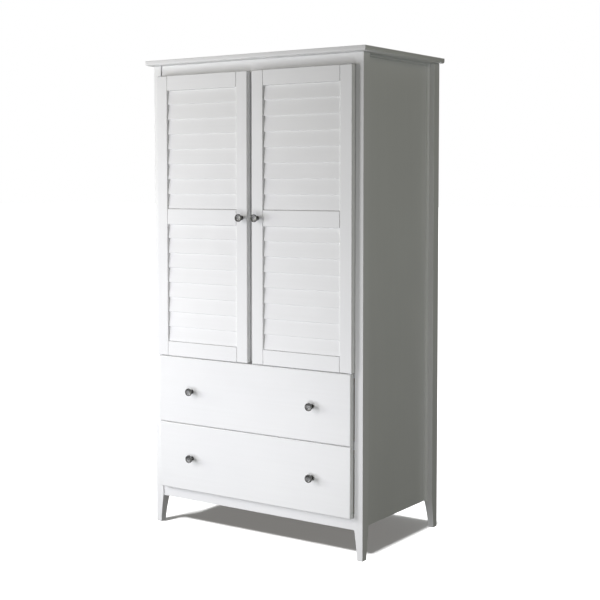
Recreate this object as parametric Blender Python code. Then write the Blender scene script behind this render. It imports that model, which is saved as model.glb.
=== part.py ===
"""Armoire: two louvred doors over two drawers, in a case on four tapered feet.

Metres, +Z up, front towards -Y, origin on the floor under the middle of the whole object.
Run it with: blender --background --python part.py
"""

import math

import bmesh
import bpy
from mathutils import Vector

# Overall sizes
CASE_WIDTH = 0.960  # across the posts
CASE_DEPTH = 0.567  # from the posts' front faces to their back faces
HEIGHT = 1.829  # floor to the top of the top board

# Clearances
FIT = 0.0003  # between pieces that touch
EDGE = 0.0015  # eased edge on sawn pieces
DRAWER_SIDE_GAP = 0.0025  # drawer front to post
DRAWER_GAP = 0.0015  # between the drawer fronts
DOOR_DRAWER_GAP = 0.0024  # between the doors and the upper drawer front
FRONT_STANDOFF = 0.0015  # doors and drawer fronts before the posts' front faces
BOX_HEADROOM = 0.028  # drawer box to the rail over it
BOX_BACK_GAP = 0.033  # drawer box to the lower back rail's face
RUN_CLEARANCE = 0.001  # drawer box to its runners
PIN_CLEARANCE = 0.00015  # pivot pin to its bore, all round
PLATE_CLEARANCE = 0.0006  # pivot plate to the door and to the drawer front

# Top board
TOP_THICKNESS = 0.019
TOP_OVERHANG_SIDE = 0.0215
TOP_OVERHANG_FRONT = 0.027
TOP_UNDERCUT = 0.008  # radius of the rounded lower edge
TOP_UPPER_EDGE = 0.002

# Posts and feet
POST_WIDTH = 0.035
POST_DEPTH = 0.042
FOOT_WIDTH = 0.024
FOOT_DEPTH = 0.028
CLEAR_UNDER = 0.107  # floor to the underside of the apron and panels
TAPER_POWER = 1.5  # above 1, the taper starts with a curve at the top of the foot
TAPER_STEPS = 5

# Rails and centre stile
RAIL_THICKNESS = 0.020
RAIL_SETBACK = 0.004  # rails behind the posts' front faces
APRON_SHOW = 0.0445  # apron seen under the lower drawer
APRON_LAP = 0.0135  # apron behind the lower drawer front
DIVIDER_HEIGHT = 0.030
MIDDLE_RAIL_HEIGHT = 0.037
FRIEZE_SHOW = 0.0435  # frieze seen over the doors
FRIEZE_LAP = 0.022  # frieze behind the doors
CENTRE_STILE_WIDTH = 0.045

# Panels
SIDE_PANEL_THICKNESS = 0.005
BEAD_RADIUS = 0.010
BEAD_STEPS = 4
BACK_PANEL_THICKNESS = 0.005
BACK_PANEL_INSET = 0.012  # behind it, to the posts' back faces
BACK_RAIL_THICKNESS = 0.020
BACK_RAIL_HEIGHT = 0.058
FLOOR_THICKNESS = 0.015

# Hanging rod
ROD_RADIUS = 0.0125
ROD_DROP = 0.085  # rod's axis under the top board
SOCKET_FLANGE_RADIUS = 0.022
SOCKET_FLANGE = 0.003
SOCKET_WALL = 0.0035
SOCKET_LENGTH = 0.014

# Doors
DOOR_THICKNESS = 0.022
DOOR_OVERLAY = 0.002  # door over the post's front face
DOOR_GAP = 0.021  # between the two doors
STILE_WIDTH = 0.051
TOP_RAIL_HEIGHT = 0.057
MID_RAIL_HEIGHT = 0.060
BOTTOM_RAIL_HEIGHT = 0.057
GROOVE_DEPTH = 0.008
GROOVE_WIDTH = 0.008
DOOR_EDGE = 0.002

# Louvres
SLATS = 8
SLAT_THICKNESS = 0.0045
SLAT_LIP_DEPTH = 0.0045  # lower edge of a slat, behind the frame's front face
SLAT_BACK_DEPTH = 0.0076  # upper edge of a slat, in front of the frame's back face
SLAT_LAP = 0.004  # upper edge of a slat behind the lip of the one above
TOP_SLAT_SHORT = 0.004  # top slat of a field, less than the pitch of the others
SLAT_NOSE = 0.0015  # rounding of a slat's front lower edge
SLAT_NOSE_STEPS = 2
BATTEN_SHOW = 0.002  # batten past the stile's edge, where the slats' ends join it

# Drawers
DRAWER_FRONT_THICKNESS = 0.022
DRAWER_FRONT_HEIGHT = 0.260
DRAWER_FRONT_ROUND = 0.005
BOX_SIDE_THICKNESS = 0.012
BOX_WALL_GAP = 0.015  # drawer side to the side panel
BOX_BOTTOM_THICKNESS = 0.005
BOX_BOTTOM_RISE = 0.010
BOX_GROOVE_DEPTH = 0.005
RUNNER_HEIGHT = 0.020
RUNNER_LEDGE = 0.016  # under the drawer side
GUIDE_RISE = 0.018
GUIDE_CLEARANCE = 0.0015

# Door pivots
PIVOT_INSET = 0.0082  # from the post's inner face
PIVOT_DEPTH = 0.010  # from the door's front face
PLATE_THICKNESS = 0.0012
PLATE_HALF_WIDTH = 0.0065
PLATE_NOSE = 0.0065  # plate in front of the pin's axis
PLATE_MORTISE = 0.014  # plate inside the rail
PIN_RADIUS = 0.003
PIN_LENGTH = 0.010
BORE_SPARE = 0.002

# Knobs
KNOB_RADIUS = 0.015
KNOB_REACH = 0.025
KNOB_HEAD = 0.007  # thickness of the disc
KNOB_FLARE = 0.007  # from the neck out to the disc
KNOB_RIM = 0.003  # width of the raised rim
KNOB_RIM_EASE = 0.0015
KNOB_FACE_DEPTH = 0.0012  # face inside the rim, behind it
KNOB_FACE_DOME = 0.0006
KNOB_NECK_RADIUS = 0.0055
KNOB_BASE_RADIUS = 0.0085
KNOB_BASE = 0.0025
KNOB_BASE_FLARE = 0.0035
KNOB_SPREAD = 0.278  # drawer knobs each side of the middle
ROUND_SIDES = 20

# Places that follow from the sizes
DOOR_PROUD = DOOR_THICKNESS + FRONT_STANDOFF
POST_FRONT = -(CASE_DEPTH - DOOR_PROUD - KNOB_REACH - FIT) / 2
POST_BACK = POST_FRONT + CASE_DEPTH
RAIL_FRONT = POST_FRONT + RAIL_SETBACK
RAIL_BACK = RAIL_FRONT + RAIL_THICKNESS
DOOR_BACK = POST_FRONT - FRONT_STANDOFF
DOOR_FRONT = DOOR_BACK - DOOR_THICKNESS
DRAWER_BACK = POST_FRONT - FRONT_STANDOFF
DRAWER_FRONT = DRAWER_BACK - DRAWER_FRONT_THICKNESS
HALF_CASE = CASE_WIDTH / 2
HALF_INSIDE = HALF_CASE - POST_WIDTH
TOP_UNDERSIDE = HEIGHT - TOP_THICKNESS
CASE_TOP = TOP_UNDERSIDE - FIT
BACK_PANEL_BACK = POST_BACK - BACK_PANEL_INSET
BACK_PANEL_FRONT = BACK_PANEL_BACK - BACK_PANEL_THICKNESS
BACK_RAIL_FRONT = BACK_PANEL_FRONT - FIT - BACK_RAIL_THICKNESS

LOWER_DRAWER_Z = CLEAR_UNDER + APRON_SHOW
UPPER_DRAWER_Z = LOWER_DRAWER_Z + DRAWER_FRONT_HEIGHT + DRAWER_GAP
DRAWERS_TOP = UPPER_DRAWER_Z + DRAWER_FRONT_HEIGHT
DOOR_Z0 = DRAWERS_TOP + DOOR_DRAWER_GAP
DOOR_Z1 = TOP_UNDERSIDE - FRIEZE_SHOW
APRON_TOP = LOWER_DRAWER_Z + APRON_LAP
DIVIDER_Z0 = UPPER_DRAWER_Z - DRAWER_GAP / 2 - DIVIDER_HEIGHT / 2
DIVIDER_Z1 = DIVIDER_Z0 + DIVIDER_HEIGHT
MIDDLE_RAIL_Z0 = DOOR_Z0 - DOOR_DRAWER_GAP / 2 - MIDDLE_RAIL_HEIGHT / 2
MIDDLE_RAIL_Z1 = MIDDLE_RAIL_Z0 + MIDDLE_RAIL_HEIGHT
FRIEZE_Z0 = DOOR_Z1 - FRIEZE_LAP

DOOR_INNER = DOOR_GAP / 2
DOOR_OUTER = HALF_INSIDE + DOOR_OVERLAY
FIELD_INNER = DOOR_INNER + STILE_WIDTH
FIELD_OUTER = DOOR_OUTER - STILE_WIDTH
FIELD_HEIGHT = (
    DOOR_Z1 - DOOR_Z0 - TOP_RAIL_HEIGHT - MID_RAIL_HEIGHT - BOTTOM_RAIL_HEIGHT
) / 2
MID_RAIL_Z0 = DOOR_Z0 + BOTTOM_RAIL_HEIGHT + FIELD_HEIGHT
MID_RAIL_Z1 = MID_RAIL_Z0 + MID_RAIL_HEIGHT
TOP_RAIL_Z0 = DOOR_Z1 - TOP_RAIL_HEIGHT
GROOVE_FRONT = (DOOR_FRONT + DOOR_BACK - GROOVE_WIDTH) / 2
GROOVE_BACK = GROOVE_FRONT + GROOVE_WIDTH
PIVOT_X = HALF_INSIDE - PIVOT_INSET
PIVOT_Y = DOOR_FRONT + PIVOT_DEPTH

BOX_OUTER = HALF_INSIDE - BOX_WALL_GAP
BOX_INNER = BOX_OUTER - BOX_SIDE_THICKNESS
BOX_BACK = BACK_RAIL_FRONT - BOX_BACK_GAP

# Colour, roughness and metallic value of each finish
FINISHES = {
    "white_paint": ((0.86, 0.87, 0.86), 0.38, 0.0),
    "inner_wood": ((0.72, 0.58, 0.42), 0.55, 0.0),
    "pewter": ((0.42, 0.41, 0.39), 0.30, 1.0),
    "steel": ((0.62, 0.62, 0.63), 0.28, 1.0),
}


def clear_scene():
    for obj in list(bpy.data.objects):
        bpy.data.objects.remove(obj)


def paint(obj, finish):
    """Gives the object a material of its own with the finish's values."""
    colour, roughness, metallic = FINISHES[finish]
    material = bpy.data.materials.new(obj.name + "_" + finish)
    material.use_nodes = True
    shader = material.node_tree.nodes["Principled BSDF"]
    shader.inputs["Base Color"].default_value = (*colour, 1.0)
    shader.inputs["Roughness"].default_value = roughness
    shader.inputs["Metallic"].default_value = metallic
    obj.data.materials.append(material)


def add_object(name, bm, centre, finish, parent=None):
    """Makes an object from world-space geometry, with its origin at centre."""
    bmesh.ops.recalc_face_normals(bm, faces=bm.faces)
    bmesh.ops.translate(bm, vec=-Vector(centre), verts=bm.verts)
    mesh = bpy.data.meshes.new(name)
    bm.to_mesh(mesh)
    bm.free()
    obj = bpy.data.objects.new(name, mesh)
    bpy.context.scene.collection.objects.link(obj)
    obj.location = Vector(centre)
    if parent is not None:
        obj.parent = parent
        obj.location = Vector(centre) - parent.location
    paint(obj, finish)
    return obj


def add_pivot(name, location):
    """An empty on a joint's axis, which carries the pieces that move with it."""
    empty = bpy.data.objects.new(name, None)
    bpy.context.scene.collection.objects.link(empty)
    empty.location = location
    return empty


def ease(obj, width=EDGE, segments=1, front_only=False):
    """Rounds the sharp outer edges, all of them or those round the front face only."""
    bm = bmesh.new()
    bm.from_mesh(obj.data)
    front = min(vertex.co.y for vertex in bm.verts)
    weight = bm.edges.layers.float.new("bevel_weight_edge")
    for edge in bm.edges:
        sharp = edge.is_convex and edge.calc_face_angle() > math.radians(40)
        at_front = all(vertex.co.y < front + FIT for vertex in edge.verts)
        edge[weight] = float(sharp and (at_front or not front_only))
    bm.to_mesh(obj.data)
    bm.free()
    bevel = obj.modifiers.new("Eased edges", "BEVEL")
    bevel.width = width
    bevel.segments = segments
    bevel.limit_method = "WEIGHT"
    return obj


def smooth(obj):
    obj.data.shade_smooth()
    obj.data.set_sharp_from_angle(angle=math.radians(35))
    return obj


def box_mesh(low, high):
    low, high = Vector(low), Vector(high)
    bm = bmesh.new()
    bmesh.ops.create_cube(bm, size=1)
    bmesh.ops.scale(bm, vec=high - low, verts=bm.verts)
    bmesh.ops.translate(bm, vec=(low + high) / 2, verts=bm.verts)
    return bm


def mirrored_box(side, low, high):
    """The corners of a box given on the right-hand side, moved to the side named by +1 or -1."""
    x0, x1 = sorted((side * low[0], side * high[0]))
    return (x0, low[1], low[2]), (x1, high[1], high[2])


def board(name, low, high, finish, parent=None):
    """A straight board from one corner to the other, with square edges."""
    low, high = Vector(low), Vector(high)
    return add_object(name, box_mesh(low, high), (low + high) / 2, finish, parent)


def prism_mesh(outline, place, start, end):
    """Extrudes a closed outline. place(a, b, s) turns an outline point and a distance into a point."""
    bm = bmesh.new()
    rings = [[bm.verts.new(place(a, b, s)) for a, b in outline] for s in (start, end)]
    bm.faces.new(rings[0])
    bm.faces.new(rings[1])
    count = len(outline)
    for i in range(count):
        j = (i + 1) % count
        bm.faces.new((rings[0][i], rings[0][j], rings[1][j], rings[1][i]))
    return bm


def along_x(a, b, s):
    return (s, a, b)


def along_y(a, b, s):
    return (a, s, b)


def along_z(a, b, s):
    return (a, b, s)


def turned_mesh(profile, base, axis, sides=ROUND_SIDES):
    """Spins (radius, distance along the axis) points about the axis through base."""
    base, axis = Vector(base), Vector(axis).normalized()
    across = axis.orthogonal().normalized()
    bm = bmesh.new()
    points = [bm.verts.new(base + axis * d + across * r) for r, d in profile]
    edges = [bm.edges.new(pair) for pair in zip(points, points[1:])]
    bmesh.ops.spin(
        bm,
        geom=points + edges,
        cent=base,
        axis=axis,
        angle=2 * math.pi,
        steps=sides,
        use_merge=True,
    )
    bmesh.ops.remove_doubles(bm, verts=bm.verts, dist=1e-6)
    return bm


def merge_meshes(*parts):
    """Puts several meshes in one, without joining their surfaces."""
    whole = bmesh.new()
    for part in parts:
        mesh = bpy.data.meshes.new("part")
        part.to_mesh(mesh)
        part.free()
        whole.from_mesh(mesh)
        bpy.data.meshes.remove(mesh)
    return whole


def add_tool(name, bm, parent=None):
    """A hidden helper object for a Boolean, in world space."""
    bmesh.ops.recalc_face_normals(bm, faces=bm.faces)
    mesh = bpy.data.meshes.new(name)
    if parent is not None:
        bmesh.ops.translate(bm, vec=-parent.location, verts=bm.verts)
    bm.to_mesh(mesh)
    bm.free()
    tool = bpy.data.objects.new(name, mesh)
    bpy.context.scene.collection.objects.link(tool)
    tool.parent = parent
    tool.hide_render = True
    tool.display_type = "WIRE"
    return tool


def combine(obj, tool, operation):
    boolean = obj.modifiers.new(operation.title(), "BOOLEAN")
    boolean.operation = operation
    boolean.object = tool
    boolean.solver = "EXACT"
    return obj


# Case


def foot_taper(z):
    """Share of the taper left at height z: 0 on the floor, 1 at the top of the foot."""
    return (z / CLEAR_UNDER) ** TAPER_POWER


def post(name, side, end):
    """A corner post. side is -1 for left, +1 for right; end is -1 for front, +1 for back.
    The two outer faces are straight, and the two inner ones taper below the panels."""
    outer_y = POST_FRONT if end < 0 else POST_BACK
    heights = [CLEAR_UNDER * i / TAPER_STEPS for i in range(TAPER_STEPS + 1)]
    heights.append(CASE_TOP)
    bm = bmesh.new()
    rings = []
    for z in heights:
        share = min(1.0, foot_taper(z))
        width = FOOT_WIDTH + (POST_WIDTH - FOOT_WIDTH) * share
        depth = FOOT_DEPTH + (POST_DEPTH - FOOT_DEPTH) * share
        outer_x, inner_x = side * HALF_CASE, side * (HALF_CASE - width)
        inner_y = outer_y - end * depth
        corners = (
            (outer_x, outer_y),
            (inner_x, outer_y),
            (inner_x, inner_y),
            (outer_x, inner_y),
        )
        rings.append([bm.verts.new((x, y, z)) for x, y in corners])
    bm.faces.new(rings[0])
    bm.faces.new(rings[-1])
    for low, high in zip(rings, rings[1:]):
        for i in range(4):
            j = (i + 1) % 4
            bm.faces.new((low[i], low[j], high[j], high[i]))
    centre = (
        side * (HALF_CASE - POST_WIDTH / 2),
        outer_y - end * POST_DEPTH / 2,
        CASE_TOP / 2,
    )
    return ease(add_object(name, bm, centre, "white_paint"))


def top_board():
    """Square at the back, lightly eased above, and rounded under at the front and sides."""
    half = HALF_CASE + TOP_OVERHANG_SIDE
    front = POST_FRONT - TOP_OVERHANG_FRONT
    bm = box_mesh((-half, front, TOP_UNDERSIDE), (half, POST_BACK, HEIGHT))

    def on_edge(edge, z):
        at_z = all(abs(v.co.z - z) < FIT for v in edge.verts)
        at_back = all(abs(v.co.y - POST_BACK) < FIT for v in edge.verts)
        return at_z and not at_back

    upper = [e for e in bm.edges if on_edge(e, HEIGHT)]
    bmesh.ops.bevel(
        bm, geom=upper, offset=TOP_UPPER_EDGE, segments=2, profile=0.5, affect="EDGES"
    )
    lower = [e for e in bm.edges if on_edge(e, TOP_UNDERSIDE)]
    bmesh.ops.bevel(
        bm, geom=lower, offset=TOP_UNDERCUT, segments=5, profile=0.5, affect="EDGES"
    )
    centre = (0, (front + POST_BACK) / 2, HEIGHT - TOP_THICKNESS / 2)
    return smooth(add_object("top_board", bm, centre, "white_paint"))


def cross_rail(name, z0, z1):
    """A rail between the two front posts."""
    half = HALF_INSIDE - FIT
    low, high = (-half, RAIL_FRONT, z0), (half, RAIL_BACK, z1)
    return ease(board(name, low, high, "white_paint"))


def plate_box(side, z0, grow=0.0):
    """A pivot plate's corners. grow makes the mortise that it lies in."""
    return mirrored_box(
        side,
        (PIVOT_X - PLATE_HALF_WIDTH - grow, PIVOT_Y - PLATE_NOSE, z0 - grow),
        (
            PIVOT_X + PLATE_HALF_WIDTH + grow,
            RAIL_FRONT + PLATE_MORTISE + grow,
            z0 + PLATE_THICKNESS + grow,
        ),
    )


def mortise_for_plates(rail, plate_z):
    slots = merge_meshes(*(box_mesh(*plate_box(s, plate_z, FIT)) for s in (-1, 1)))
    return combine(rail, add_tool(rail.name + "_mortises", slots), "DIFFERENCE")


def pivot_plate(name, side, plate_z, pin_up):
    """A flat plate let into a rail, with a pin that enters the end of the door's hinge stile."""
    plate = board(name, *plate_box(side, plate_z), "steel")
    middle = plate_z + PLATE_THICKNESS / 2
    length = PLATE_THICKNESS / 2 + PLATE_CLEARANCE + PIN_LENGTH
    profile = [(0, 0), (PIN_RADIUS, 0), (PIN_RADIUS, length), (0, length)]
    axis = (0, 0, 1 if pin_up else -1)
    pin = turned_mesh(profile, (side * PIVOT_X, PIVOT_Y, middle), axis)
    return combine(plate, add_tool(name + "_pin", pin), "UNION")


def side_panel(name, side):
    low, high = mirrored_box(
        side,
        (HALF_INSIDE, POST_FRONT + POST_DEPTH + FIT, CLEAR_UNDER),
        (HALF_INSIDE + SIDE_PANEL_THICKNESS, POST_BACK - POST_DEPTH - FIT, CASE_TOP),
    )
    return board(name, low, high, "white_paint")


def panel_bead(name, side):
    """A quarter-round moulding up both posts and across under the top board, mitred at its corners."""
    face = side * (HALF_INSIDE + SIDE_PANEL_THICKNESS + FIT)
    front = POST_FRONT + POST_DEPTH + FIT
    back = POST_BACK - POST_DEPTH - FIT
    arc = [math.pi / 2 * i / BEAD_STEPS for i in range(BEAD_STEPS + 1)]
    profile = [(0, 0)]
    profile += [(BEAD_RADIUS * math.cos(t), BEAD_RADIUS * math.sin(t)) for t in arc]
    bm = bmesh.new()
    stations = []
    for corner in range(4):
        ring = []
        for inward, proud in profile:
            y = front + inward if corner < 2 else back - inward
            z = CASE_TOP - inward if corner in (1, 2) else CLEAR_UNDER
            ring.append(bm.verts.new((face + side * proud, y, z)))
        stations.append(ring)
    bm.faces.new(stations[0])
    bm.faces.new(stations[-1])
    count = len(profile)
    for a, b in zip(stations, stations[1:]):
        for i in range(count):
            j = (i + 1) % count
            bm.faces.new((a[i], a[j], b[j], b[i]))
    centre = (face, (front + back) / 2, (CLEAR_UNDER + CASE_TOP) / 2)
    return smooth(add_object(name, bm, centre, "white_paint"))


def rod_height():
    return TOP_UNDERSIDE - ROD_DROP


def rod_depth():
    return (RAIL_BACK + BACK_PANEL_FRONT) / 2


def hanging_rod():
    reach = HALF_INSIDE - FIT - SOCKET_FLANGE - FIT
    profile = [(0, -reach), (ROD_RADIUS, -reach), (ROD_RADIUS, reach), (0, reach)]
    base = (0, rod_depth(), rod_height())
    bm = turned_mesh(profile, base, (1, 0, 0))
    return smooth(add_object("hanging_rod", bm, base, "steel"))


def rod_socket(name, side):
    """A flanged cup on the side panel that holds the end of the rod."""
    bore = ROD_RADIUS + FIT
    outer = bore + SOCKET_WALL
    profile = [
        (0, 0),
        (SOCKET_FLANGE_RADIUS, 0),
        (SOCKET_FLANGE_RADIUS, SOCKET_FLANGE),
        (outer, SOCKET_FLANGE),
        (outer, SOCKET_LENGTH),
        (bore, SOCKET_LENGTH),
        (bore, SOCKET_FLANGE),
        (0, SOCKET_FLANGE),
    ]
    base = (side * (HALF_INSIDE - FIT), rod_depth(), rod_height())
    bm = turned_mesh(profile, base, (-side, 0, 0))
    return smooth(add_object(name, bm, base, "steel"))


def runner(name, side, rail_top):
    """An L-shaped runner: a ledge under the drawer's side and a guide beside it."""
    wall = HALF_INSIDE - FIT
    ledge = BOX_OUTER - RUNNER_LEDGE
    guide = BOX_OUTER + GUIDE_CLEARANCE
    outline = [
        (wall, rail_top - RUNNER_HEIGHT),
        (wall, rail_top + GUIDE_RISE),
        (guide, rail_top + GUIDE_RISE),
        (guide, rail_top),
        (ledge, rail_top),
        (ledge, rail_top - RUNNER_HEIGHT),
    ]
    outline = [(side * x, z) for x, z in outline]
    front, back = RAIL_BACK + FIT, BACK_RAIL_FRONT - FIT
    bm = prism_mesh(outline, along_y, front, back)
    centre = (side * wall, (front + back) / 2, rail_top)
    return add_object(name, bm, centre, "inner_wood")


def build_case():
    top_board()
    for side, left_right in ((-1, "left"), (1, "right")):
        post("post_front_" + left_right, side, -1)
        post("post_back_" + left_right, side, 1)
        side_panel("side_panel_" + left_right, side)
        panel_bead("panel_bead_" + left_right, side)
        rod_socket("rod_socket_" + left_right, side)
        runner("runner_upper_" + left_right, side, DIVIDER_Z1)
        runner("runner_lower_" + left_right, side, APRON_TOP)

    over_door = DOOR_Z1 + PLATE_CLEARANCE
    under_door = DOOR_Z0 - PLATE_CLEARANCE - PLATE_THICKNESS
    frieze = cross_rail("frieze_rail", FRIEZE_Z0, CASE_TOP)
    mortise_for_plates(frieze, over_door)
    middle = cross_rail("middle_rail", MIDDLE_RAIL_Z0, MIDDLE_RAIL_Z1)
    mortise_for_plates(middle, under_door)
    for side, left_right in ((-1, "left"), (1, "right")):
        pivot_plate("pivot_plate_" + left_right + "_top", side, over_door, False)
        pivot_plate("pivot_plate_" + left_right + "_bottom", side, under_door, True)
    cross_rail("drawer_divider_rail", DIVIDER_Z0, DIVIDER_Z1)
    cross_rail("apron_rail", CLEAR_UNDER, APRON_TOP)

    centre_stile = board(
        "centre_stile",
        (-CENTRE_STILE_WIDTH / 2, RAIL_FRONT, MIDDLE_RAIL_Z1 + FIT),
        (CENTRE_STILE_WIDTH / 2, RAIL_BACK, FRIEZE_Z0 - FIT),
        "white_paint",
    )
    ease(centre_stile)
    half = HALF_INSIDE - FIT
    board(
        "back_panel",
        (-half, BACK_PANEL_FRONT, CLEAR_UNDER),
        (half, BACK_PANEL_BACK, CASE_TOP),
        "white_paint",
    )
    board(
        "back_lower_rail",
        (-half, BACK_RAIL_FRONT, CLEAR_UNDER),
        (half, BACK_RAIL_FRONT + BACK_RAIL_THICKNESS, CLEAR_UNDER + BACK_RAIL_HEIGHT),
        "white_paint",
    )
    board(
        "compartment_floor",
        (-half, RAIL_BACK + FIT, MIDDLE_RAIL_Z1 - FLOOR_THICKNESS),
        (half, BACK_PANEL_FRONT - FIT, MIDDLE_RAIL_Z1),
        "white_paint",
    )
    hanging_rod()


# Knobs


def knob(name, x, front, z, parent):
    """A turned knob: spread base, slim neck, and a flat disc with a raised rim."""
    disc = KNOB_REACH - KNOB_HEAD
    face = KNOB_RADIUS - KNOB_RIM
    sunk = KNOB_REACH - KNOB_FACE_DEPTH
    profile = [
        (0, 0),
        (KNOB_BASE_RADIUS, 0),
        (KNOB_BASE_RADIUS, KNOB_BASE),
        (KNOB_NECK_RADIUS, KNOB_BASE + KNOB_BASE_FLARE),
        (KNOB_NECK_RADIUS, disc - KNOB_FLARE),
        (KNOB_RADIUS, disc),
        (KNOB_RADIUS, KNOB_REACH - KNOB_RIM_EASE),
        (KNOB_RADIUS - KNOB_RIM_EASE, KNOB_REACH),
        (face, KNOB_REACH),
        (face - KNOB_FACE_DEPTH, sunk),
        (0, sunk + KNOB_FACE_DOME),
    ]
    base = (x, front - FIT, z)
    bm = turned_mesh(profile, base, (0, -1, 0))
    return smooth(add_object(name, bm, base, "pewter", parent))


# Doors


def stile(name, side, outer, inner, parent):
    """A door stile with a groove down the edge that faces the louvres."""
    toward = 1 if outer > inner else -1
    floor = inner + toward * GROOVE_DEPTH
    outline = [
        (outer, DOOR_FRONT),
        (outer, DOOR_BACK),
        (inner, DOOR_BACK),
        (inner, GROOVE_BACK),
        (floor, GROOVE_BACK),
        (floor, GROOVE_FRONT),
        (inner, GROOVE_FRONT),
        (inner, DOOR_FRONT),
    ]
    outline = [(side * x, y) for x, y in outline]
    bm = prism_mesh(outline, along_z, DOOR_Z0, DOOR_Z1)
    centre = (
        side * (outer + inner) / 2,
        (DOOR_FRONT + DOOR_BACK) / 2,
        (DOOR_Z0 + DOOR_Z1) / 2,
    )
    return ease(add_object(name, bm, centre, "white_paint", parent), DOOR_EDGE)


def bore_for_pins(obj, side, parent):
    radius = (PIN_RADIUS + PIN_CLEARANCE) / math.cos(math.pi / ROUND_SIDES)
    depth = PIN_LENGTH + BORE_SPARE
    profile = [(0, -BORE_SPARE), (radius, -BORE_SPARE), (radius, depth), (0, depth)]
    lower = turned_mesh(profile, (side * PIVOT_X, PIVOT_Y, DOOR_Z0), (0, 0, 1))
    upper = turned_mesh(profile, (side * PIVOT_X, PIVOT_Y, DOOR_Z1), (0, 0, -1))
    tool = add_tool(obj.name + "_bores", merge_meshes(lower, upper), parent)
    return combine(obj, tool, "DIFFERENCE")


def door_rail(name, side, z0, z1, parent):
    """A rail between the stiles, with stub tenons in their grooves."""
    inner, outer = FIELD_INNER + FIT, FIELD_OUTER - FIT
    tongue_front, tongue_back = GROOVE_FRONT + FIT, GROOVE_BACK - FIT
    reach = GROOVE_DEPTH - FIT
    outline = [
        (inner, DOOR_FRONT),
        (outer, DOOR_FRONT),
        (outer, tongue_front),
        (outer + reach, tongue_front),
        (outer + reach, tongue_back),
        (outer, tongue_back),
        (outer, DOOR_BACK),
        (inner, DOOR_BACK),
        (inner, tongue_back),
        (inner - reach, tongue_back),
        (inner - reach, tongue_front),
        (inner, tongue_front),
    ]
    outline = [(side * x, y) for x, y in outline]
    bm = prism_mesh(outline, along_z, z0, z1)
    centre = (
        side * (inner + outer) / 2,
        (DOOR_FRONT + DOOR_BACK) / 2,
        (z0 + z1) / 2,
    )
    return ease(add_object(name, bm, centre, "white_paint", parent), DOOR_EDGE)


def slat_outline(lip_z, top_z, lean):
    """A slat's cross-section, leaning back from its rounded lower edge."""

    def front_at(z):
        return DOOR_FRONT + SLAT_LIP_DEPTH + lean * (z - lip_z)

    nose = []
    for i in range(SLAT_NOSE_STEPS + 1):
        turn = math.pi / 2 * i / SLAT_NOSE_STEPS
        back = SLAT_NOSE * (1 - math.cos(turn))
        up = SLAT_NOSE * (1 - math.sin(turn))
        nose.append((front_at(lip_z + up) + back, lip_z + up))
    return nose + [
        (front_at(lip_z) + SLAT_THICKNESS, lip_z),
        (front_at(top_z) + SLAT_THICKNESS, top_z),
        (front_at(top_z), top_z),
    ]


def louvre_field(name, side, z0, z1, parent):
    """The slats between two rails, with the battens in the stile grooves that hold their ends."""
    z0, z1 = z0 + FIT, z1 - FIT
    pitch = (z1 - z0 + TOP_SLAT_SHORT) / SLATS
    run_back = DOOR_THICKNESS - SLAT_LIP_DEPTH - SLAT_THICKNESS - SLAT_BACK_DEPTH
    lean = run_back / (pitch + SLAT_LAP)
    inner, outer = FIELD_INNER + FIT, FIELD_OUTER - FIT
    reach = GROOVE_DEPTH - FIT
    battens = merge_meshes(
        *(
            box_mesh(
                *mirrored_box(
                    side,
                    (x0, GROOVE_FRONT + FIT, z0),
                    (x1, GROOVE_BACK - FIT, z1),
                )
            )
            for x0, x1 in (
                (inner - reach, inner + BATTEN_SHOW),
                (outer - BATTEN_SHOW, outer + reach),
            )
        )
    )
    slats = []
    for i in range(SLATS):
        lip = z0 + i * pitch
        top = min(lip + pitch + SLAT_LAP, z1)
        outline = slat_outline(lip, top, lean)
        slats.append(prism_mesh(outline, along_x, side * inner, side * outer))
    centre = (side * (inner + outer) / 2, (DOOR_FRONT + DOOR_BACK) / 2, (z0 + z1) / 2)
    obj = add_object(name, battens, centre, "white_paint", parent)
    return combine(obj, add_tool(name + "_slats", merge_meshes(*slats), parent), "UNION")


def build_door(body, side):
    pivot = add_pivot(body + "_hinge", (side * PIVOT_X, PIVOT_Y, DOOR_Z0))
    hinge_stile = stile(body + "_hinge_stile", side, DOOR_OUTER, FIELD_OUTER, pivot)
    bore_for_pins(hinge_stile, side, pivot)
    stile(body + "_lock_stile", side, DOOR_INNER, FIELD_INNER, pivot)
    door_rail(body + "_top_rail", side, TOP_RAIL_Z0, DOOR_Z1, pivot)
    door_rail(body + "_middle_rail", side, MID_RAIL_Z0, MID_RAIL_Z1, pivot)
    door_rail(body + "_bottom_rail", side, DOOR_Z0, DOOR_Z0 + BOTTOM_RAIL_HEIGHT, pivot)
    louvre_field(body + "_louvres_upper", side, MID_RAIL_Z1, TOP_RAIL_Z0, pivot)
    lower_start = DOOR_Z0 + BOTTOM_RAIL_HEIGHT
    louvre_field(body + "_louvres_lower", side, lower_start, MID_RAIL_Z0, pivot)
    knob_x = side * (DOOR_INNER + STILE_WIDTH / 2)
    knob(body + "_knob", knob_x, DOOR_FRONT, (MID_RAIL_Z0 + MID_RAIL_Z1) / 2, pivot)


# Drawers


def drawer_side(name, side, z0, z1, parent):
    """A side board with a groove inside for the bottom."""
    inner, floor = BOX_INNER, BOX_INNER + BOX_GROOVE_DEPTH
    groove_z0 = z0 + BOX_BOTTOM_RISE
    groove_z1 = groove_z0 + BOX_BOTTOM_THICKNESS + 2 * FIT
    outline = [
        (BOX_OUTER, z0),
        (BOX_OUTER, z1),
        (inner, z1),
        (inner, groove_z1),
        (floor, groove_z1),
        (floor, groove_z0),
        (inner, groove_z0),
        (inner, z0),
    ]
    outline = [(side * x, z) for x, z in outline]
    front = DRAWER_BACK + FIT
    bm = prism_mesh(outline, along_y, front, BOX_BACK)
    centre = (side * BOX_OUTER, (front + BOX_BACK) / 2, (z0 + z1) / 2)
    return add_object(name, bm, centre, "inner_wood", parent)


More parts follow.
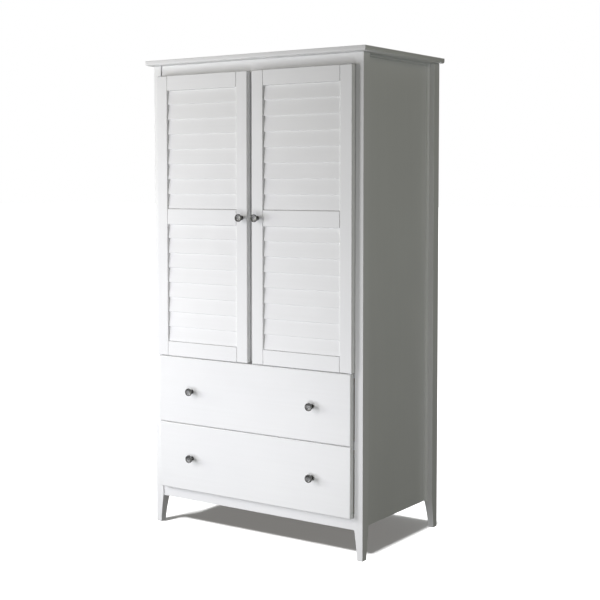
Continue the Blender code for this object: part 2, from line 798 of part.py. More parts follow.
def build_drawer(body, front_z, rail_top, rail_over):
    """rail_top is the top of the rail and runners under the box, and rail_over the rail above it."""
    box_z = rail_top + RUN_CLEARANCE
    box_top = rail_over - BOX_HEADROOM
    slide = add_pivot(body + "_slide", (0, DRAWER_BACK, box_z))
    half_front = HALF_INSIDE - DRAWER_SIDE_GAP
    front = board(
        body + "_front",
        (-half_front, DRAWER_FRONT, front_z),
        (half_front, DRAWER_BACK, front_z + DRAWER_FRONT_HEIGHT),
        "white_paint",
        slide,
    )
    ease(front, DRAWER_FRONT_ROUND, 3, front_only=True)
    drawer_side(body + "_side_left", -1, box_z, box_top, slide)
    drawer_side(body + "_side_right", 1, box_z, box_top, slide)
    bottom_z = box_z + BOX_BOTTOM_RISE + FIT
    bottom_half = BOX_INNER + BOX_GROOVE_DEPTH - FIT
    board(
        body + "_bottom",
        (-bottom_half, DRAWER_BACK + FIT, bottom_z),
        (bottom_half, BOX_BACK, bottom_z + BOX_BOTTOM_THICKNESS),
        "inner_wood",
        slide,
    )
    half_back = BOX_INNER - FIT
    board(
        body + "_back",
        (-half_back, BOX_BACK - BOX_SIDE_THICKNESS, bottom_z + BOX_BOTTOM_THICKNESS + FIT),
        (half_back, BOX_BACK, box_top),
        "inner_wood",
        slide,
    )
    knob_z = front_z + DRAWER_FRONT_HEIGHT / 2
    knob(body + "_knob_left", -KNOB_SPREAD, DRAWER_FRONT, knob_z, slide)
    knob(body + "_knob_right", KNOB_SPREAD, DRAWER_FRONT, knob_z, slide)


clear_scene()
build_case()
build_door("door_left", -1)
build_door("door_right", 1)
build_drawer("drawer_upper", UPPER_DRAWER_Z, DIVIDER_Z1, MIDDLE_RAIL_Z0)
build_drawer("drawer_lower", LOWER_DRAWER_Z, APRON_TOP, DIVIDER_Z0)
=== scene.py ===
"""Armoire with louvred doors over two drawers: the finished look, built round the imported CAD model."""

import math

import bmesh
import bpy
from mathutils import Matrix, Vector


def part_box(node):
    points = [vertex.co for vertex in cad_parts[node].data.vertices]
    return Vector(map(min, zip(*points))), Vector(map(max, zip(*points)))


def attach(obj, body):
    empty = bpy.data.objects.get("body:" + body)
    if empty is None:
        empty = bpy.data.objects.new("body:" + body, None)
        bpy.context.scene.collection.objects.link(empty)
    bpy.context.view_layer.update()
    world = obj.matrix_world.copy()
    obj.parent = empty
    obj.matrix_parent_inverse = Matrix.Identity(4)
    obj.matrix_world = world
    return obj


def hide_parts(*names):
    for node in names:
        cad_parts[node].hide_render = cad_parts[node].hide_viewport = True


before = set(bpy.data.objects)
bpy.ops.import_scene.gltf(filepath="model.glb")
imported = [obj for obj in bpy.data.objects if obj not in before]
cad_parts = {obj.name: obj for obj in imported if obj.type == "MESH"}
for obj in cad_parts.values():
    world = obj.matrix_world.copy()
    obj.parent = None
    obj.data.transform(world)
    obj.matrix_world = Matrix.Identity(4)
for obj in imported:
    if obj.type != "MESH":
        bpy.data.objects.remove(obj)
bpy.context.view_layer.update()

FIT = 0.0003  # gap between pieces that touch

# Edge radii, in metres
STILE_CHAMFER = 0.002  # door stiles
RAIL_CHAMFER = 0.0012  # door rails, beside the stiles
CHAMFER_EASE = 0.0003  # rounding where a chamfer meets a face
CASE_EDGE = 0.0015  # rails and posts
DRAWER_EDGE = 0.005
BOX_EDGE = 0.0012  # drawer boxes
SHEET_EDGE = 0.0004  # thin panels

# Top board
TOP_EASE = 0.002
TOP_UNDERCUT = 0.008

# Posts: the law of the taper from the apron's underside to the floor
FOOT_WIDTH = 0.024
FOOT_DEPTH = 0.028
TAPER_POWER = 1.5
TAPER_STEPS = 24
FOOT_EASE = 0.0015
POST_POINT = 0.999  # share of the corner radius left off at a post's ends

# Louvres
SLATS = 8
SLAT_THICKNESS = 0.0045
SLAT_LIP_DEPTH = 0.0045  # lower edge of a slat, behind the frame's front face
SLAT_BACK_DEPTH = 0.0076  # upper edge of a slat, in front of the frame's back face
SLAT_LAP = 0.004  # upper edge of a slat behind the lip of the one above
TOP_SLAT_SHORT = 0.004  # top slat of a field, less than the pitch of the others
SLAT_NOSE = 0.0018
SLAT_SMALL_ROUND = 0.0008

# Turned pieces
ROUND_SIDES = 64

# Knobs
KNOB_FOOT_RADIUS = 0.0085
KNOB_FOOT_ROUND = 0.0012
KNOB_FOOT_HEIGHT = 2 * KNOB_FOOT_ROUND
KNOB_FOOT_HOLLOW = 0.0021  # hollow from the foot in to the neck
KNOB_NECK_RADIUS = 0.0052
KNOB_NECK_START = 0.0075
KNOB_NECK_LEFT = 0.0145  # end of the straight neck, from the knob's front
KNOB_FLARE = 0.005
KNOB_BACK = 0.0072  # back of the disc, from the knob's front
KNOB_BACK_INSET = 0.0012
KNOB_BACK_ROUND = 0.0016
KNOB_RIM = 0.0017
KNOB_DISH_DEPTH = 0.0022
KNOB_DISH_RISE = 0.0006  # middle of the dish, raised again
KNOB_DISH_LAW = 0.8  # below 1, the dish falls off steeply at its edge
KNOB_DISH_STEPS = 10

# Hanging rod and its sockets
ROD_EASE = 0.001
SOCKET_WALL = 0.0035
SOCKET_FLANGE = 0.003
SOCKET_ROUND = 0.0015

# node: (edge radius, direction of the grain)
CASE_PARTS = {
    "frieze_rail": (CASE_EDGE, "x"),
    "middle_rail": (CASE_EDGE, "x"),
    "drawer_divider_rail": (CASE_EDGE, "x"),
    "apron_rail": (CASE_EDGE, "x"),
    "centre_stile": (CASE_EDGE, "z"),
    "back_lower_rail": (CASE_EDGE, "x"),
    "back_panel": (SHEET_EDGE, "z"),
    "compartment_floor": (SHEET_EDGE, "x"),
    "side_panel_left": (SHEET_EDGE, "z"),
    "side_panel_right": (SHEET_EDGE, "z"),
}
SIDES = {"left": -1, "right": 1}

# Floor, and its lights: one that casts the shadow on it, and one that fills the shadow
FLOOR_HALF_SIZE = 60
FLOOR_ROUGHNESS = 0.8
FLOOR_LIGHT = 4.6
FLOOR_FILL = 0.62
FLOOR_LIGHT_HEIGHT = 5
FLOOR_LIGHT_ANGLE = 3  # degrees
SHADING_THE_FLOOR = ("compartment_floor", "post_front_left")
SHADOW_CENTRE_X = 0.02
SHADOW_FRONT_Y = -0.162

# Even light on the armoire from all round
AMBIENT = 0.05
AMBIENT_COLOUR = (1.0, 1.0, 0.82, 1)

# Soft boxes, name: (location, target, size, power, colour)
LIGHTS = {
    "key_high": ((-1.6, -2.4, 2.3), (0, -0.2, 0.9), 0.6, 9.0, (1.0, 0.94, 0.86)),
    "key_level": ((-1.7, -2.6, 1.6), (0, -0.2, 0.9), 0.6, 19.0, (0.96, 0.95, 1.0)),
    "left_mid": ((-2.4, -1.7, 1.0), (0, -0.2, 0.9), 0.6, 19.5, (0.87, 0.84, 1.0)),
    "left_grazing": ((-3.2, -1.3, 1.1), (0, -0.2, 0.8), 1.0, 20.0, (0.9, 1.0, 0.65)),
    "left_low": ((-1.9, -2.2, 0.3), (0, -0.2, 0.7), 0.8, 10.4, (0.93, 0.94, 1.0)),
    "front_mid": ((0.6, -3.0, 1.1), (0.2, -0.2, 0.9), 0.6, 3.0, (0.97, 0.97, 1.0)),
    "front_low": ((-0.7, -1.7, 0.25), (0, -0.2, 0.5), 0.5, 6.6, (0.93, 0.94, 1.0)),
    "front_low_right": ((0.45, -1.6, 0.12), (0.1, -0.2, 0.4), 0.5, 10.0, (0.96, 0.96, 1.0)),
    "right_low": ((2.4, -0.5, 0.15), (0.4, 0, 0.9), 0.8, 2.8, (1.0, 0.88, 0.74)),
    "right_side": ((3.0, -0.5, 0.9), (0.4, 0, 0.9), 1.4, 7.2, (0.74, 0.84, 0.90)),
    "right_high": ((2.4, -0.4, 2.4), (0.4, 0, 0.9), 1.0, 4.4, (1.0, 0.96, 0.82)),
    "over_the_top": ((0, 0.6, 4.2), (0, 0.2, 1.8), 0.7, 26.0, (0.98, 0.98, 1.0)),
    "behind": ((-0.7, 3.2, 1.7), (-0.2, 0.3, 0.9), 1.2, 70.0, (0.98, 0.98, 1.0)),
}

# Camera
SENSOR_WIDTH = 36
LENS = 74.1
SHIFT = (0.0463, -0.0813)
CAMERA_X, CAMERA_Z = 2.7189, 1.3469
CAMERA_DISTANCE = 3.7324  # before the posts' front faces
CAMERA_TURN = (math.pi / 2 - 0.0543, 0.0012, 0.614)


# Materials


class Nodes:
    """A short way to write one material's node tree."""

    def __init__(self, name):
        self.material = bpy.data.materials.new(name)
        self.material.use_nodes = True
        self.tree = self.material.node_tree
        self.shader = self.tree.nodes["Principled BSDF"]
        self.coordinates = self.add("ShaderNodeTexCoord").outputs["Object"]

    def add(self, kind, **settings):
        node = self.tree.nodes.new(kind)
        for key, value in settings.items():
            setattr(node, key, value)
        return node

    def join(self, output, socket):
        self.tree.links.new(output, socket)

    def noise(self, scale, detail=2.0, roughness=0.5, stretch=(1, 1, 1), offset=(0, 0, 0)):
        """Noise from 0 to 1. stretch divides its frequency along each axis."""
        mapping = self.add("ShaderNodeMapping")
        mapping.inputs["Scale"].default_value = [scale / s for s in stretch]
        mapping.inputs["Location"].default_value = offset
        self.join(self.coordinates, mapping.inputs["Vector"])
        noise = self.add("ShaderNodeTexNoise")
        noise.inputs["Scale"].default_value = 1.0
        noise.inputs["Detail"].default_value = detail
        noise.inputs["Roughness"].default_value = roughness
        self.join(mapping.outputs["Vector"], noise.inputs["Vector"])
        return noise.outputs["Fac"]

    def between(self, value, low, high):
        """Spreads the middle of a noise over low to high."""
        spread = self.add("ShaderNodeMapRange")
        spread.inputs["From Min"].default_value = 0.3
        spread.inputs["From Max"].default_value = 0.7
        spread.inputs["To Min"].default_value = low
        spread.inputs["To Max"].default_value = high
        self.join(value, spread.inputs["Value"])
        return spread.outputs["Result"]

    def blend(self, factor, first, second):
        """A colour between two colours or colour outputs."""
        mix = self.add("ShaderNodeMix", data_type="RGBA")
        self.join(factor, mix.inputs["Factor"])
        for socket, colour in ((mix.inputs[6], first), (mix.inputs[7], second)):
            if isinstance(colour, tuple):
                socket.default_value = (*colour, 1.0)
            else:
                self.join(colour, socket)
        return mix.outputs[2]

    def add_up(self, first, second, share):
        """first plus share times second."""
        total = self.add("ShaderNodeMath", operation="MULTIPLY_ADD")
        self.join(second, total.inputs[0])
        total.inputs[1].default_value = share
        self.join(first, total.inputs[2])
        return total.outputs["Value"]

    def bump(self, height, depth, strength=1.0):
        bump = self.add("ShaderNodeBump")
        bump.inputs["Strength"].default_value = strength
        bump.inputs["Distance"].default_value = depth
        self.join(height, bump.inputs["Height"])
        self.join(bump.outputs["Normal"], self.shader.inputs["Normal"])

    def colour(self, output):
        self.join(output, self.shader.inputs["Base Color"])

    def roughness(self, output):
        self.join(output, self.shader.inputs["Roughness"])


def along(grain, length):
    """Stretch of a pattern that is long along the grain."""
    return tuple(length if axis == grain else 1.0 for axis in "xyz")


def white_paint(grain):
    """Satin lacquer: the wood's grain shows very faintly through it, with a fine orange peel."""
    nodes = Nodes("white_paint_" + grain)
    tone = nodes.between(nodes.noise(2.2, 3.0), 0.0, 1.0)
    fibre = nodes.noise(420, 4.0, 0.6, along(grain, 110))
    pore = nodes.noise(90, 3.0, 0.5, along(grain, 45), (3.1, 5.7, 1.9))
    peel = nodes.noise(650, 1.0)
    plain = nodes.blend(tone, (0.80, 0.805, 0.80), (0.835, 0.84, 0.83))
    nodes.colour(nodes.blend(nodes.between(pore, 0.0, 0.12), plain, (0.72, 0.72, 0.70)))
    nodes.roughness(nodes.between(nodes.noise(14, 4.0), 0.48, 0.56))
    height = nodes.add_up(nodes.add_up(fibre, pore, 0.8), peel, 0.5)
    nodes.bump(height, 0.00008, 0.5)
    nodes.shader.inputs["Coat Weight"].default_value = 0.06
    nodes.shader.inputs["Coat Roughness"].default_value = 0.4
    return nodes.material


def pale_wood(grain):
    """Lacquered pale softwood for the drawer boxes and runners."""
    nodes = Nodes("pale_wood_" + grain)
    bands = nodes.noise(26, 5.0, 0.55, along(grain, 22))
    fibre = nodes.noise(420, 3.0, 0.6, along(grain, 40))
    tone = nodes.noise(3.0, 2.0)
    light = nodes.blend(nodes.between(tone, 0.0, 1.0), (0.70, 0.54, 0.36), (0.76, 0.60, 0.42))
    banded = nodes.blend(nodes.between(bands, 0.0, 0.8), light, (0.55, 0.37, 0.21))
    nodes.colour(nodes.blend(nodes.between(fibre, 0.0, 0.3), banded, (0.46, 0.31, 0.18)))
    nodes.roughness(nodes.between(bands, 0.42, 0.58))
    nodes.bump(nodes.add_up(bands, fibre, 0.6), 0.0002, 0.6)
    return nodes.material


def pewter():
    """Cast pewter, polished by use, with dull tarnish left in patches."""
    nodes = Nodes("pewter")
    tarnish = nodes.between(nodes.noise(380, 4.0, 0.6), 0.0, 1.0)
    fine = nodes.noise(1600, 3.0)
    nodes.colour(nodes.blend(tarnish, (0.21, 0.21, 0.205), (0.11, 0.11, 0.105)))
    nodes.roughness(nodes.between(tarnish, 0.40, 0.58))
    nodes.bump(nodes.add_up(tarnish, fine, 0.4), 0.00008, 0.6)
    nodes.shader.inputs["Metallic"].default_value = 1.0
    return nodes.material


def brushed_metal(name, colour, low, high):
    """Plated steel with fine marks along the X axis."""
    nodes = Nodes(name)
    marks = nodes.noise(1500, 3.0, 0.6, along("x", 25))
    cloud = nodes.between(nodes.noise(30, 2.0), 0.0, 1.0)
    darker = tuple(0.82 * c for c in colour)
    nodes.colour(nodes.blend(cloud, colour, darker))
    nodes.roughness(nodes.between(marks, low, high))
    nodes.bump(marks, 0.00003, 0.4)
    nodes.shader.inputs["Metallic"].default_value = 1.0
    return nodes.material


PAINT = {axis: white_paint(axis) for axis in "xyz"}
WOOD = {axis: pale_wood(axis) for axis in "xyz"}
PEWTER = pewter()
STEEL = brushed_metal("zinc_steel", (0.56, 0.57, 0.58), 0.30, 0.45)
CHROME = brushed_metal("chromed_steel", (0.72, 0.73, 0.74), 0.10, 0.18)


# Making pieces


def add_piece(name, bm, material, body, slot, *stands_for):
    """Makes a piece that rides on a body and stands for CAD nodes."""
    bmesh.ops.recalc_face_normals(bm, faces=bm.faces)
    mesh = bpy.data.meshes.new(name)
    bm.to_mesh(mesh)
    bm.free()
    mesh.shade_smooth()
    mesh.materials.append(material)
    piece = bpy.data.objects.new(name, mesh)
    bpy.context.scene.collection.objects.link(piece)
    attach(piece, body)
    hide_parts(*stands_for)
    return piece


def flatten_faces(piece):
    """Keeps the flat faces flat where they meet a small round."""
    weighted = piece.modifiers.new("Flat faces", "WEIGHTED_NORMAL")
    weighted.weight = 100
    weighted.keep_sharp = True
    return piece


def box_mesh(low, high):
    low, high = Vector(low), Vector(high)
    bm = bmesh.new()
    bmesh.ops.create_cube(bm, size=1)
    bmesh.ops.scale(bm, vec=high - low, verts=bm.verts)
    bmesh.ops.translate(bm, vec=(low + high) / 2, verts=bm.verts)
    return bm


def round_edges(bm, edges, radius, segments):
    bmesh.ops.bevel(
        bm, geom=edges, offset=radius, segments=segments, profile=0.5, affect="EDGES"
    )


def board_mesh(low, high, radius, segments=4):
    bm = box_mesh(low, high)
    round_edges(bm, bm.edges[:], radius, segments)
    return bm


def add_chamfered(node, low, high, chamfer, material, body):
    """A board with flat chamfers whose own edges are lightly rounded."""
    bm = box_mesh(low, high)
    round_edges(bm, bm.edges[:], chamfer, 1)
    round_edges(bm, bm.edges[:], CHAMFER_EASE, 2)
    return flatten_faces(
        add_piece("look_" + node, bm, material, body, "white_paint", node)
    )


def add_board(node, low, high, radius, material, body, slot="white_paint"):
    return flatten_faces(
        add_piece("look_" + node, board_mesh(low, high, radius), material, body, slot, node)
    )


def turned_mesh(profile, base, axis):
    """Spins (radius, distance) points about the axis through base."""
    base, axis = Vector(base), Vector(axis).normalized()
    across = axis.orthogonal().normalized()
    bm = bmesh.new()
    points = [bm.verts.new(base + axis * d + across * r) for r, d in profile]
    edges = [bm.edges.new(pair) for pair in zip(points, points[1:])]
    bmesh.ops.spin(
        bm,
        geom=points + edges,
        cent=base,
        axis=axis,
        angle=2 * math.pi,
        steps=ROUND_SIDES,
        use_merge=True,
    )
    bmesh.ops.remove_doubles(bm, verts=bm.verts, dist=1e-7)
    return bm


def join_rings(bm, rings):
    """Closes the two end rings, and joins each ring to the next."""
    bm.faces.new(rings[0])
    bm.faces.new(rings[-1])
    count = len(rings[0])
    for a, b in zip(rings, rings[1:]):
        for i in range(count):
            j = (i + 1) % count
            bm.faces.new((a[i], a[j], b[j], b[i]))


def arc(centre, radius, start, end, steps):
    """Points of an arc, with angles in degrees."""
    points = []
    for i in range(steps + 1):
        turn = math.radians(start + (end - start) * i / steps)
        points.append((centre[0] + radius * math.cos(turn), centre[1] + radius * math.sin(turn)))
    return points


def sharpen(piece, degrees=40):
    piece.data.set_sharp_from_angle(angle=math.radians(degrees))
    return piece


# Case


def top_board():
    """Square at the back, eased above, and rounded under at the front and sides."""
    low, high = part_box("top_board")
    bm = box_mesh(low, high)

    def edges_at(z):
        def fits(edge):
            at_z = all(abs(v.co.z - z) < FIT for v in edge.verts)
            return at_z and not all(abs(v.co.y - high.y) < FIT for v in edge.verts)

        return [edge for edge in bm.edges if fits(edge)]

    round_edges(bm, edges_at(high.z), TOP_EASE, 5)
    round_edges(bm, edges_at(low.z), TOP_UNDERCUT, 12)
    piece = add_piece("look_top_board", bm, PAINT["x"], "case", "white_paint", "top_board")
    flatten_faces(sharpen(piece))


def post(node, side, front):
    """A straight post whose two inner faces curve into a slimmer foot."""
    low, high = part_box(node)
    taper_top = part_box("apron_rail")[0].z
    full_width, full_depth = high.x - low.x, high.y - low.y
    outer_x = high.x if side > 0 else low.x
    outer_y = low.y if front else high.y
    back_way = 1 if front else -1
    levels = [(low.z, FOOT_EASE), (low.z + FOOT_EASE, 0.0)]
    levels += [(taper_top * i / TAPER_STEPS, 0.0) for i in range(1, TAPER_STEPS + 1)]
    levels += [(high.z - CASE_EDGE, 0.0), (high.z, CASE_EDGE)]
    bm = bmesh.new()
    rings = []
    for z, inset in levels:
        share = min(1.0, (max(z, 0.0) / taper_top) ** TAPER_POWER)
        width = FOOT_WIDTH + (full_width - FOOT_WIDTH) * share
        depth = FOOT_DEPTH + (full_depth - FOOT_DEPTH) * share
        x0, x1 = sorted((outer_x, outer_x - side * width))
        y0, y1 = sorted((outer_y, outer_y + back_way * depth))
        radius = CASE_EDGE
        ring = []
        for cx, cy, start in (
            (x1 - radius, y1 - radius, 0),
            (x0 + radius, y1 - radius, 90),
            (x0 + radius, y0 + radius, 180),
            (x1 - radius, y0 + radius, 270),
        ):
            for x, y in arc((cx, cy), radius - inset * POST_POINT, start, start + 90, 4):
                ring.append(bm.verts.new((x, y, z)))
        rings.append(ring)
    join_rings(bm, rings)
    piece = add_piece("look_" + node, bm, PAINT["z"], "case", "white_paint", node)
    flatten_faces(piece)


def panel_bead(node, side):
    """Quarter-round moulding up both posts and across under the top, mitred."""
    low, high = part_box(node)
    face = low.x if side > 0 else high.x
    radius = high.x - low.x
    profile = [(0, 0)] + arc((0, 0), radius, 0, 90, 10)
    bm = bmesh.new()
    stations = []
    for y_edge, y_way, at_top in (
        (low.y, 1, False),
        (low.y, 1, True),
        (high.y, -1, True),
        (high.y, -1, False),
    ):
        ring = []
        for inward, proud in profile:
            z = high.z - inward if at_top else low.z
            ring.append(bm.verts.new((face + side * proud, y_edge + y_way * inward, z)))
        stations.append(ring)
    join_rings(bm, stations)
    sharpen(add_piece("look_" + node, bm, PAINT["z"], "case", "white_paint", node), 35)


def hanging_rod():
    low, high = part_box("hanging_rod")
    centre = (low + high) / 2
    radius = (high.z - low.z) / 2
    half = (high.x - low.x) / 2
    profile = [(0, -half), (radius - ROD_EASE, -half), (radius, ROD_EASE - half)]
    profile += [(radius, half - ROD_EASE), (radius - ROD_EASE, half), (0, half)]
    bm = turned_mesh(profile, centre, (1, 0, 0))
    sharpen(add_piece("look_hanging_rod", bm, CHROME, "case", "chrome", "hanging_rod"))


def rod_socket(node, side):
    """A flanged cup: the flange is flat with a rounded edge, and the cup's mouth is rolled."""
    low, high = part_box(node)
    wall = high.x if side > 0 else low.x
    centre = (wall, (low.y + high.y) / 2, (low.z + high.z) / 2)
    flange_radius = (high.z - low.z) / 2
    length = high.x - low.x
    rod_low, rod_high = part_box("hanging_rod")
    bore = (rod_high.z - rod_low.z) / 2 + FIT
    outer = bore + SOCKET_WALL
    lip = SOCKET_WALL / 2
    rim = (flange_radius - SOCKET_ROUND, SOCKET_FLANGE - SOCKET_ROUND)
    inner_corner = (outer + SOCKET_ROUND, SOCKET_FLANGE + SOCKET_ROUND)
    profile = [(0, 0), (flange_radius, 0)]
    profile += arc(rim, SOCKET_ROUND, 0, 90, 5)
    profile += arc(inner_corner, SOCKET_ROUND, 270, 180, 5)
    profile += arc((bore + lip, length - lip), lip, 0, 180, 8)
    profile += [(bore, SOCKET_FLANGE), (0, SOCKET_FLANGE)]
    bm = turned_mesh(profile, centre, (-side, 0, 0))
    sharpen(add_piece("look_" + node, bm, CHROME, "case", "chrome", node))


def build_case():
    top_board()
    for node, (radius, grain) in CASE_PARTS.items():
        add_board(node, *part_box(node), radius, PAINT[grain], "case")
    for name, side in SIDES.items():
        post("post_front_" + name, side, True)
        post("post_back_" + name, side, False)
        panel_bead("panel_bead_" + name, side)
        rod_socket("rod_socket_" + name, side)
        for level in ("upper", "lower"):
            keep_node("runner_" + level + "_" + name, WOOD["y"])
        for end in ("top", "bottom"):
            keep_node("pivot_plate_" + name + "_" + end, STEEL)
    hanging_rod()


def keep_node(node, material):
    """A CAD node whose shape is right gets the finished material."""
    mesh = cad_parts[node].data
    mesh.materials.clear()
    mesh.materials.append(material)


# Knobs


def add_knob(node, body):
    """A turned knob: foot ring, slim neck, flared back, thick rounded rim and a dished face."""
    low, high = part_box(node)
    centre = (low + high) / 2
    base = (centre.x, high.y, centre.z)
    radius = (high.z - low.z) / 2
    reach = high.y - low.y
    shoulder = KNOB_FOOT_RADIUS - KNOB_FOOT_ROUND
    hollow_at = KNOB_FOOT_HEIGHT + KNOB_FOOT_HOLLOW
    neck_end = reach - KNOB_NECK_LEFT
    disc_edge = radius - KNOB_BACK_ROUND
    profile = [(0, 0), (KNOB_FOOT_RADIUS, 0)]
    profile += arc((shoulder, KNOB_FOOT_ROUND), KNOB_FOOT_ROUND, 0, 90, 4)
    profile += arc((shoulder, hollow_at), KNOB_FOOT_HOLLOW, 270, 180, 6)
    profile += [(KNOB_NECK_RADIUS, KNOB_NECK_START), (KNOB_NECK_RADIUS, neck_end)]
    profile += arc((KNOB_NECK_RADIUS + KNOB_FLARE, neck_end), KNOB_FLARE, 180, 110, 6)
    profile += [(radius - KNOB_BACK_INSET, reach - KNOB_BACK)]
    disc_back = reach - KNOB_BACK + KNOB_BACK_ROUND
    profile += arc((disc_edge, disc_back), KNOB_BACK_ROUND, -60, 0, 4)
    profile += arc((radius - KNOB_RIM, reach - KNOB_RIM), KNOB_RIM, 0, 180, 10)
    dish_edge = radius - 2 * KNOB_RIM
    for i in range(1, KNOB_DISH_STEPS + 1):
        share = i / KNOB_DISH_STEPS
        fall = math.sin(share * math.pi / 2) ** KNOB_DISH_LAW
        sunk = KNOB_RIM + KNOB_DISH_DEPTH * fall - KNOB_DISH_RISE * share ** 3
        profile.append((dish_edge * (1 - share), reach - sunk))
    bm = turned_mesh(profile, base, (0, -1, 0))
    sharpen(add_piece("look_" + node, bm, PEWTER, body, "pewter", node), 50)


# Doors


def slat_outline(front, depth, lip_z, top_z, lean):
    """A slat's cross-section in (y, z): a rounded lip below, leaning back to its upper edge."""

    def front_at(z):
        return front + SLAT_LIP_DEPTH + lean * (z - lip_z)

    lower_front = front_at(lip_z)
    small = SLAT_SMALL_ROUND
    outline = arc((lower_front + SLAT_NOSE, lip_z + SLAT_NOSE), SLAT_NOSE, 180, 270, 6)
    outline += arc((lower_front + depth - small, lip_z + small), small, 270, 360, 3)
    outline += arc((front_at(top_z) + depth - small, top_z - small), small, 0, 90, 3)
    outline += arc((front_at(top_z) + small, top_z - small), small, 90, 180, 3)
    return outline


def extrude_x(outline, x0, x1):
    bm = bmesh.new()
    ends = [[bm.verts.new((x, y, z)) for y, z in outline] for x in (x0, x1)]
    join_rings(bm, ends)
    return bm


def louvres(body, field, x0, x1, front, back):
    """Separate slats between the stiles, the top one a little shorter than the others."""
    node = body + "_louvres_" + field
    low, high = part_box(node)
    pitch = (high.z - low.z + TOP_SLAT_SHORT) / SLATS
    run_back = (back - front) - SLAT_LIP_DEPTH - SLAT_THICKNESS - SLAT_BACK_DEPTH
    lean = run_back / (pitch + SLAT_LAP)
    for i in range(SLATS):
        lip = low.z + i * pitch
        top = min(lip + pitch + SLAT_LAP, high.z)
        outline = slat_outline(front, SLAT_THICKNESS, lip, top, lean)
        name = "look_" + node + "_slat_" + str(i + 1)
        bm = extrude_x(outline, x0, x1)
        slat = add_piece(name, bm, PAINT["x"], body, "white_paint", node)
        flatten_faces(sharpen(slat, 60))


def build_door(body):
    parts = {part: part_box(body + "_" + part) for part in ("hinge_stile", "lock_stile")}
    front, back = parts["lock_stile"][0].y, parts["lock_stile"][1].y
    for part, (low, high) in parts.items():
        add_chamfered(body + "_" + part, low, high, STILE_CHAMFER, PAINT["z"], body)
    faces = sorted(x for low, high in parts.values() for x in (low.x, high.x))
    x0, x1 = faces[1] + FIT, faces[2] - FIT
    for part in ("top_rail", "middle_rail", "bottom_rail"):
        low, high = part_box(body + "_" + part)
        low.x, high.x = x0, x1
        add_chamfered(body + "_" + part, low, high, RAIL_CHAMFER, PAINT["x"], body)
    for field in ("upper", "lower"):
        louvres(body, field, x0, x1, front, back)
    add_knob(body + "_knob", body)


# Drawers


def build_drawer(body):
    low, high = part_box(body + "_front")
    bm = box_mesh(low, high)
    at_front = [e for e in bm.edges if all(abs(v.co.y - low.y) < FIT for v in e.verts)]
    round_edges(bm, at_front, DRAWER_EDGE, 8)
    node = body + "_front"
    piece = add_piece("look_" + node, bm, PAINT["x"], body, "white_paint", node)
    flatten_faces(sharpen(piece))
    for part, grain in (("side_left", "y"), ("side_right", "y"), ("back", "x")):
        node = body + "_" + part
        add_board(node, *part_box(node), BOX_EDGE, WOOD[grain], body, "inner_wood")
    node = body + "_bottom"
    add_board(node, *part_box(node), SHEET_EDGE, WOOD["x"], body, "inner_wood")
    add_knob(body + "_knob_left", body)
    add_knob(body + "_knob_right", body)


# Studio


def aim(obj, target):
    direction = Vector(target) - obj.location
    obj.rotation_euler = direction.to_track_quat("-Z", "Y").to_euler()


def area_light(name, location, target, size, power, colour):
    """A square soft box."""
    data = bpy.data.lights.new(name, "AREA")
    data.shape = "SQUARE"
    data.size = size
    data.energy = power
    data.color = colour
    light = bpy.data.objects.new(name, data)
    bpy.context.scene.collection.objects.link(light)
    light.location = location
    aim(light, target)
    return light


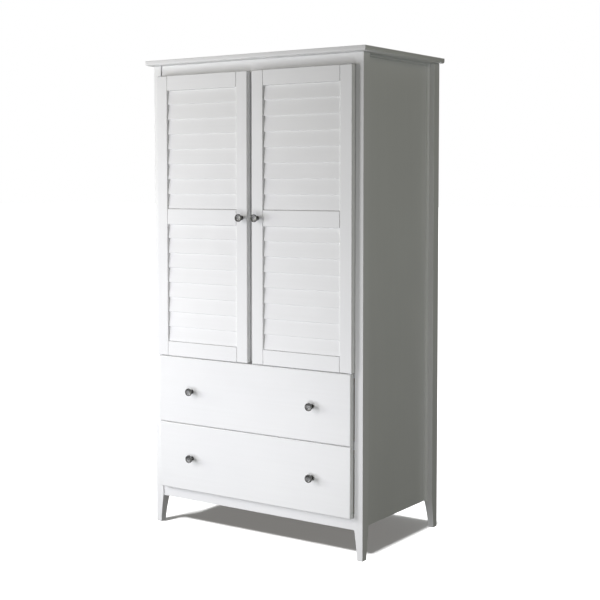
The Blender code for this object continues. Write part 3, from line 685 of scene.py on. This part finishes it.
def build_floor():
    """A wide pale floor with its own two lights. Only a few pieces shade it, so its shadow is small."""
    bm = bmesh.new()
    bmesh.ops.create_grid(bm, x_segments=1, y_segments=1, size=FLOOR_HALF_SIZE)
    mesh = bpy.data.meshes.new("floor")
    bm.to_mesh(mesh)
    bm.free()
    floor = bpy.data.objects.new("floor", mesh)
    bpy.context.scene.collection.objects.link(floor)
    floor.visible_diffuse = False
    floor.visible_glossy = False
    nodes = Nodes("pale_floor")
    shade = nodes.blend(nodes.noise(1.2, 3.0), (0.86, 0.86, 0.86), (0.88, 0.88, 0.88))
    nodes.colour(shade)
    nodes.shader.inputs["Roughness"].default_value = FLOOR_ROUGHNESS
    nodes.shader.inputs["Specular IOR Level"].default_value = 0.0
    mesh.materials.append(nodes.material)

    only_floor = bpy.data.collections.new("only_floor")
    only_floor.objects.link(floor)
    shading = bpy.data.collections.new("shading_the_floor")
    for node in SHADING_THE_FLOOR:
        shading.objects.link(bpy.data.objects["look_" + node])
    base_low, base_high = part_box("compartment_floor")
    shift_x = SHADOW_CENTRE_X - (base_low.x + base_high.x) / 2
    shift_y = SHADOW_FRONT_Y - base_low.y
    direction = Vector((shift_x, shift_y, -base_high.z))
    for name, strength, shadow in (
        ("floor_light", FLOOR_LIGHT, True),
        ("floor_fill", FLOOR_FILL, False),
    ):
        data = bpy.data.lights.new(name, "SUN")
        data.energy = strength
        data.angle = math.radians(FLOOR_LIGHT_ANGLE)
        data.use_shadow = shadow
        lamp = bpy.data.objects.new(name, data)
        bpy.context.scene.collection.objects.link(lamp)
        lamp.location = (0, 0, FLOOR_LIGHT_HEIGHT)
        lamp.rotation_euler = direction.to_track_quat("-Z", "Y").to_euler()
        lamp.light_linking.blocker_collection = shading
        lamp.light_linking.receiver_collection = only_floor
    return floor


def build_world():
    """White to the camera, and a dim even light on the armoire."""
    world = bpy.data.worlds.new("studio")
    bpy.context.scene.world = world
    world.use_nodes = True
    tree = world.node_tree
    seen = tree.nodes["Background"]
    seen.inputs["Color"].default_value = (1, 1, 1, 1)
    seen.inputs["Strength"].default_value = 1.0
    ambient = tree.nodes.new("ShaderNodeBackground")
    ambient.inputs["Color"].default_value = AMBIENT_COLOUR
    ambient.inputs["Strength"].default_value = AMBIENT
    rays = tree.nodes.new("ShaderNodeLightPath")
    mix = tree.nodes.new("ShaderNodeMixShader")
    tree.links.new(rays.outputs["Is Camera Ray"], mix.inputs["Fac"])
    tree.links.new(ambient.outputs["Background"], mix.inputs[1])
    tree.links.new(seen.outputs["Background"], mix.inputs[2])
    tree.links.new(mix.outputs["Shader"], tree.nodes["World Output"].inputs["Surface"])


def build_lights(floor):
    """Soft boxes that light everything but the floor."""
    all_but_floor = bpy.data.collections.new("all_but_floor")
    all_but_floor.objects.link(floor)
    all_but_floor.collection_objects[0].light_linking.link_state = "EXCLUDE"
    for name, (location, target, size, power, colour) in LIGHTS.items():
        light = area_light(name, location, target, size, power, colour)
        light.light_linking.receiver_collection = all_but_floor


def build_camera():
    """In front of the right-hand corner, at chest height, looking slightly down."""
    data = bpy.data.cameras.new("camera")
    data.sensor_width = SENSOR_WIDTH
    data.lens = LENS
    data.shift_x, data.shift_y = SHIFT
    camera = bpy.data.objects.new("camera", data)
    bpy.context.scene.collection.objects.link(camera)
    post_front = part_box("post_front_right")[0].y
    camera.location = (CAMERA_X, post_front - CAMERA_DISTANCE, CAMERA_Z)
    camera.rotation_euler = CAMERA_TURN
    bpy.context.scene.camera = camera


build_case()
for door in ("door_left", "door_right"):
    build_door(door)
for drawer in ("drawer_upper", "drawer_lower"):
    build_drawer(drawer)
build_world()
build_lights(build_floor())
build_camera()
bpy.context.scene.view_settings.view_transform = "Standard"
